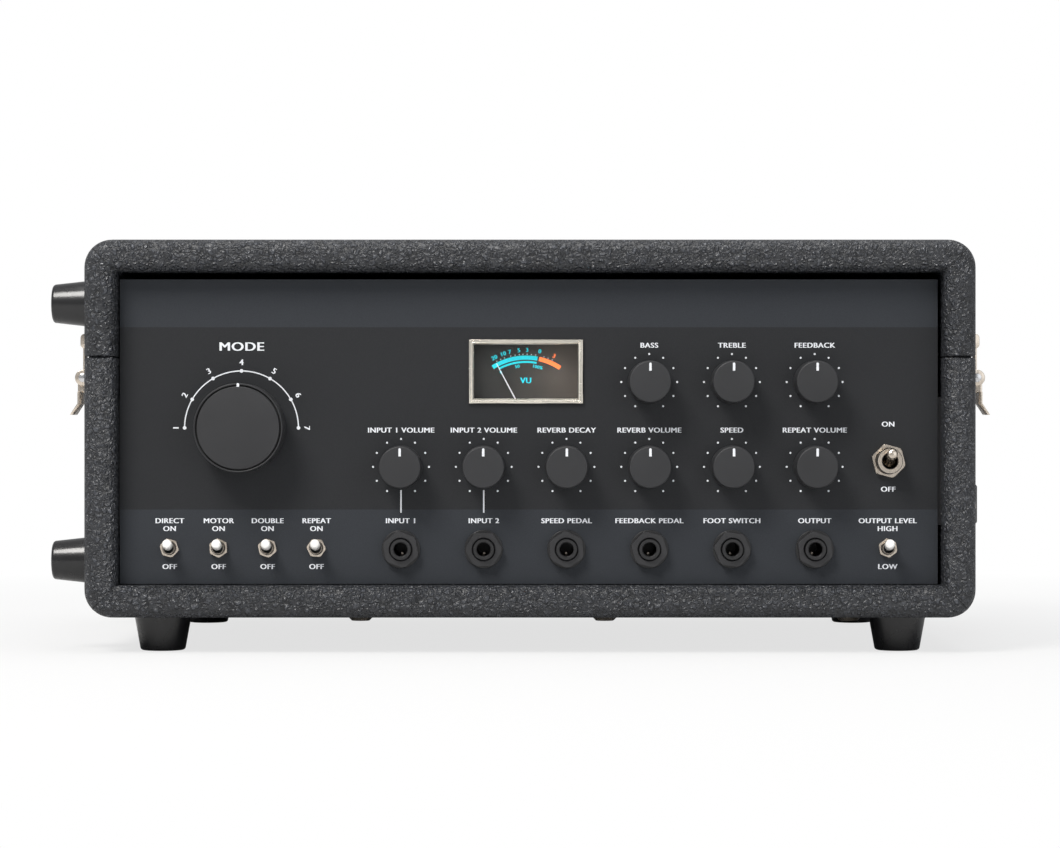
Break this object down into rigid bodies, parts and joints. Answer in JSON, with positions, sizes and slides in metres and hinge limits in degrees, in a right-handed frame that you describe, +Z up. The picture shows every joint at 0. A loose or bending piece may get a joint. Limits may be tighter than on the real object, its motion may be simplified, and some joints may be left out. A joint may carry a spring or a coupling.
{
  "type": "tape echo unit",
  "caption": "Portable tape echo unit: vinyl-covered case with hinged lid, front panel with knobs, jacks, switches and level meter, and a tape-loop transport inside.",
  "frame": {"origin": "on the floor under the middle of the case", "axes": "+Z up, -Y towards the user at the control panel, +X to the user's right"},
  "size_m": [0.452, 0.2891, 0.1931],
  "materials": {
    "covering": "black bark-grain vinyl glued over plywood, semi-gloss",
    "panel_paint": "fine matt dark blue-grey paint",
    "rear_paint": "satin black",
    "black_plastic": "matt black",
    "feet_plastic": "gloss black",
    "nickel": "nickel plate, lightly worn",
    "strap": "moulded black",
    "knob_plastic": "matt charcoal",
    "lever_plastic": "white sleeve",
    "bezel": "pale gold anodised, bright",
    "glass": "clear",
    "clear_cover": "clear acrylic",
    "needle_white": "white paint",
    "deck_metal": "brushed",
    "steel": "ground",
    "roller_rubber": "matt",
    "heads": "polished",
    "tank_plastic": "matt",
    "tape": "brown oxide",
    "circuit": "green laminate"
  },
  "bodies": {
    "case": {"case_body": "covering", "front_panel": "panel_paint", "rear_panel": "rear_paint", "mains_inlet": "black_plastic", "case_feet": "feet_plastic", "under_screws": "nickel", "latch_bases": "nickel", "handle_strap": "strap", "handle_caps": "nickel", "hinge_leaves_body": "nickel", "chassis_tray": "rear_paint", "side_rails": "rear_paint", "main_board": "circuit", "transformer": "rear_paint", "deck_plate": "deck_metal", "potentiometers": "black_plastic", "mode_switch": "black_plastic", "jack_sockets": "black_plastic", "jack_nuts": "black_plastic", "toggle_bodies": "black_plastic", "toggle_nuts": "nickel", "meter_housing": "black_plastic", "meter_bezel": "bezel", "meter_glass": "glass", "tape_heads": "heads", "head_block": "deck_metal", "tape_tank": "tank_plastic", "tank_cover": "clear_cover", "tape_loop": "tape", "motor": "rear_paint", "drive_belt": "roller_rubber"},
    "lid": {"case_lid": "covering", "lid_side_feet": "feet_plastic", "latch_catches": "nickel", "hinge_leaves_lid": "nickel"},
    "mode_selector": {"mode_knob": "knob_plastic"},
    "control_1": {"knob_1": "knob_plastic"},
    "control_2": {"knob_2": "knob_plastic"},
    "control_3": {"knob_3": "knob_plastic"},
    "control_4": {"knob_4": "knob_plastic"},
    "control_5": {"knob_5": "knob_plastic"},
    "control_6": {"knob_6": "knob_plastic"},
    "control_7": {"knob_7": "knob_plastic"},
    "control_8": {"knob_8": "knob_plastic"},
    "control_9": {"knob_9": "knob_plastic"},
    "switch_1": {"toggle_1": "lever_plastic"},
    "switch_2": {"toggle_2": "lever_plastic"},
    "switch_3": {"toggle_3": "lever_plastic"},
    "switch_4": {"toggle_4": "lever_plastic"},
    "switch_5": {"toggle_5": "lever_plastic"},
    "power_switch": {"power_toggle": "nickel"},
    "needle": {"meter_needle": "needle_white"},
    "capstan_shaft": {"capstan": "steel"},
    "motor_rotor": {"motor_pulley": "steel"},
    "roller_arm": {"pinch_arm": "steel"},
    "roller": {"pinch_roller": "roller_rubber"},
    "lever_right": {"latch_lever_right": "nickel"},
    "hook_right": {"latch_hook_right": "nickel"},
    "lever_left": {"latch_lever_left": "nickel"},
    "hook_left": {"latch_hook_left": "nickel"}
  },
  "joints": [
    {"name": "lid_hinge", "type": "hinge", "parent": "case", "child": "lid", "pos_m": [0, 0.1415, 0.1382], "axis": [-1, 0, 0], "range_deg": [0, 100]},
    {"name": "mode_turn", "type": "hinge", "parent": "case", "child": "mode_selector", "pos_m": [-0.1353, -0.1245, 0.1052], "axis": [0, 1, 0], "range_deg": [-90, 90]},
    {"name": "knob_1_turn", "type": "hinge", "parent": "case", "child": "control_1", "pos_m": [-0.0605, -0.1245, 0.0869], "axis": [0, 1, 0], "range_deg": [-150, 150]},
    {"name": "knob_2_turn", "type": "hinge", "parent": "case", "child": "control_2", "pos_m": [-0.0217, -0.1245, 0.0869], "axis": [0, 1, 0], "range_deg": [-150, 150]},
    {"name": "knob_3_turn", "type": "hinge", "parent": "case", "child": "control_3", "pos_m": [0.0171, -0.1245, 0.0869], "axis": [0, 1, 0], "range_deg": [-150, 150]},
    {"name": "knob_4_turn", "type": "hinge", "parent": "case", "child": "control_4", "pos_m": [0.0559, -0.1245, 0.0869], "axis": [0, 1, 0], "range_deg": [-150, 150]},
    {"name": "knob_5_turn", "type": "hinge", "parent": "case", "child": "control_5", "pos_m": [0.0947, -0.1245, 0.0869], "axis": [0, 1, 0], "range_deg": [-150, 150]},
    {"name": "knob_6_turn", "type": "hinge", "parent": "case", "child": "control_6", "pos_m": [0.1335, -0.1245, 0.0869], "axis": [0, 1, 0], "range_deg": [-150, 150]},
    {"name": "knob_7_turn", "type": "hinge", "parent": "case", "child": "control_7", "pos_m": [0.0559, -0.1245, 0.1267], "axis": [0, 1, 0], "range_deg": [-150, 150]},
    {"name": "knob_8_turn", "type": "hinge", "parent": "case", "child": "control_8", "pos_m": [0.0947, -0.1245, 0.1267], "axis": [0, 1, 0], "range_deg": [-150, 150]},
    {"name": "knob_9_turn", "type": "hinge", "parent": "case", "child": "control_9", "pos_m": [0.1335, -0.1245, 0.1267], "axis": [0, 1, 0], "range_deg": [-150, 150]},
    {"name": "toggle_1_throw", "type": "hinge", "parent": "case", "child": "switch_1", "pos_m": [-0.169, -0.1265, 0.0489], "axis": [1, 0, 0], "range_deg": [0, 25]},
    {"name": "toggle_2_throw", "type": "hinge", "parent": "case", "child": "switch_2", "pos_m": [-0.14605, -0.1265, 0.0489], "axis": [1, 0, 0], "range_deg": [0, 25]},
    {"name": "toggle_3_throw", "type": "hinge", "parent": "case", "child": "switch_3", "pos_m": [-0.1231, -0.1265, 0.0489], "axis": [1, 0, 0], "range_deg": [0, 25]},
    {"name": "toggle_4_throw", "type": "hinge", "parent": "case", "child": "switch_4", "pos_m": [-0.10015, -0.1265, 0.0489], "axis": [1, 0, 0], "range_deg": [0, 25]},
    {"name": "toggle_5_throw", "type": "hinge", "parent": "case", "child": "switch_5", "pos_m": [0.1677, -0.1265, 0.0489], "axis": [1, 0, 0], "range_deg": [0, 25]},
    {"name": "power_throw", "type": "hinge", "parent": "case", "child": "power_switch", "pos_m": [0.168, -0.128, 0.0897], "axis": [1, 0, 0], "range_deg": [0, 26]},
    {"name": "needle_swing", "type": "hinge", "parent": "case", "child": "needle", "pos_m": [-0.0019, -0.1195, 0.1094], "axis": [0, 1, 0], "range_deg": [0, 56]},
    {"name": "capstan_spin", "type": "hinge", "parent": "case", "child": "capstan_shaft", "pos_m": [0.1, -0.028, 0.1226], "axis": [0, 0, 1], "continuous": true},
    {"name": "motor_spin", "type": "hinge", "parent": "case", "child": "motor_rotor", "pos_m": [0, -0.028, 0.1026], "axis": [0, 0, 1], "continuous": true},
    {"name": "arm_swing", "type": "hinge", "parent": "case", "child": "roller_arm", "pos_m": [0.066, -0.015, 0.1226], "axis": [0, 0, 1], "range_deg": [0, 14]},
    {"name": "roller_spin", "type": "hinge", "parent": "roller_arm", "child": "roller", "pos_m": [0.1, -0.015, 0.1326], "axis": [0, 0, 1], "continuous": true},
    {"name": "latch_lever_right_swing", "type": "hinge", "parent": "case", "child": "lever_right", "pos_m": [0.2136, -0.0875, 0.1291], "axis": [0, -1, 0], "range_deg": [0, 95]},
    {"name": "latch_hook_right_swing", "type": "hinge", "parent": "lever_right", "child": "hook_right", "pos_m": [0.2136, -0.0875, 0.1241], "axis": [0, -1, 0], "range_deg": [-95, 0]},
    {"name": "latch_lever_left_swing", "type": "hinge", "parent": "case", "child": "lever_left", "pos_m": [-0.2136, -0.0875, 0.1291], "axis": [0, 1, 0], "range_deg": [0, 95]},
    {"name": "latch_hook_left_swing", "type": "hinge", "parent": "lever_left", "child": "hook_left", "pos_m": [-0.2136, -0.0875, 0.1241], "axis": [0, 1, 0], "range_deg": [-95, 0]}
  ],
  "couplings": [
    {"joint": "motor_spin", "follows": "capstan_spin", "ratio": 6},
    {"joint": "roller_spin", "follows": "capstan_spin", "ratio": -0.33333},
    {"joint": "latch_hook_right_swing", "follows": "latch_lever_right_swing", "ratio": -1},
    {"joint": "latch_hook_left_swing", "follows": "latch_lever_left_swing", "ratio": -1}
  ]
}
